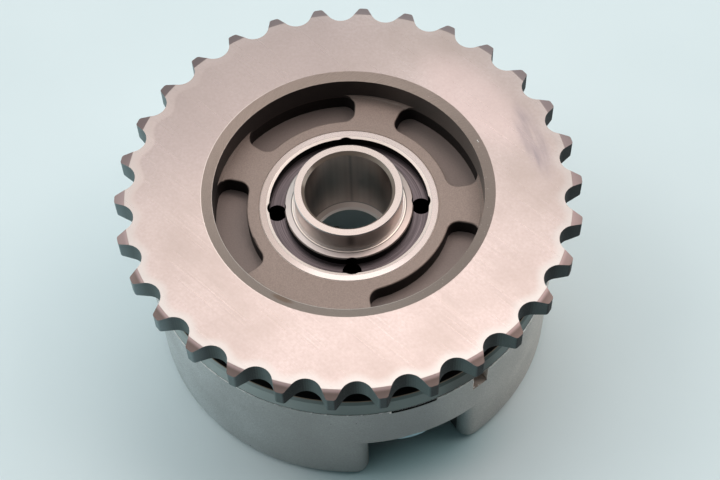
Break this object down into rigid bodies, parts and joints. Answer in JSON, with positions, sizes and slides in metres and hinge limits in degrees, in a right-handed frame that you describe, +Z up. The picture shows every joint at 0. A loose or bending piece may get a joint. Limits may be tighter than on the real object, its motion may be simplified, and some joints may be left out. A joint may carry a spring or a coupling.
{
  "type": "cam phaser",
  "caption": "Vane-type camshaft phaser: chain sprocket with a deep recess over a windowed drum, and a rotor with a pilot sleeve that turns inside.",
  "frame": {"origin": "on the rotor axis, at the lower end of the drum's skirt, which it stands on", "axes": "+Z up along the rotor axis towards the camshaft side, -Y towards the skirt's window"},
  "size_m": [0.0922, 0.0918, 0.0445],
  "materials": {
    "sprocket_steel": "ground sintered steel",
    "drum_iron": "matte blasted casting",
    "rotor_steel": "ground end face",
    "sleeve_steel": "fine turned",
    "cover_steel": "ground plate",
    "screw_steel": "black oxide",
    "hard_steel": "hardened and ground",
    "spring_steel": "drawn spring steel",
    "seal_plastic": "moulded seal bar"
  },
  "bodies": {
    "housing": {"sprocket": "sprocket_steel", "housing": "drum_iron", "front_cover": "cover_steel", "cover_screws": "screw_steel", "locating_dowel": "hard_steel", "lobe_seal_1": "seal_plastic", "lobe_seal_2": "seal_plastic", "lobe_seal_3": "seal_plastic", "lobe_seal_4": "seal_plastic", "lobe_seal_spring_1": "spring_steel", "lobe_seal_spring_2": "spring_steel", "lobe_seal_spring_3": "spring_steel", "lobe_seal_spring_4": "spring_steel"},
    "rotor": {"rotor": "rotor_steel", "pilot_sleeve": "sleeve_steel", "lock_sleeve": "hard_steel", "lock_plug": "hard_steel", "vane_seal_1": "seal_plastic", "vane_seal_2": "seal_plastic", "vane_seal_3": "seal_plastic", "vane_seal_4": "seal_plastic", "vane_seal_spring_1": "spring_steel", "vane_seal_spring_2": "spring_steel", "vane_seal_spring_3": "spring_steel", "vane_seal_spring_4": "spring_steel"},
    "lock_pin": {"lock_pin": "hard_steel", "lock_spring": "spring_steel"}
  },
  "joints": [
    {"name": "rotor_turn", "type": "hinge", "parent": "housing", "child": "rotor", "pos_m": [0, 0, 0.0226], "axis": [0, 0, 1], "range_deg": [0, 25]},
    {"name": "lock_pin_slide", "type": "slide", "parent": "rotor", "child": "lock_pin", "axis": [0, 0, -1], "range_m": [0, 0.0032], "stiffness_N_per_m": 400, "springref_m": -0.005, "deforming": ["lock_spring"]}
  ],
  "couplings": [
    {"joint": "lock_pin_slide", "follows": "rotor_turn", "m_per_rad": 0.007333}
  ]
}
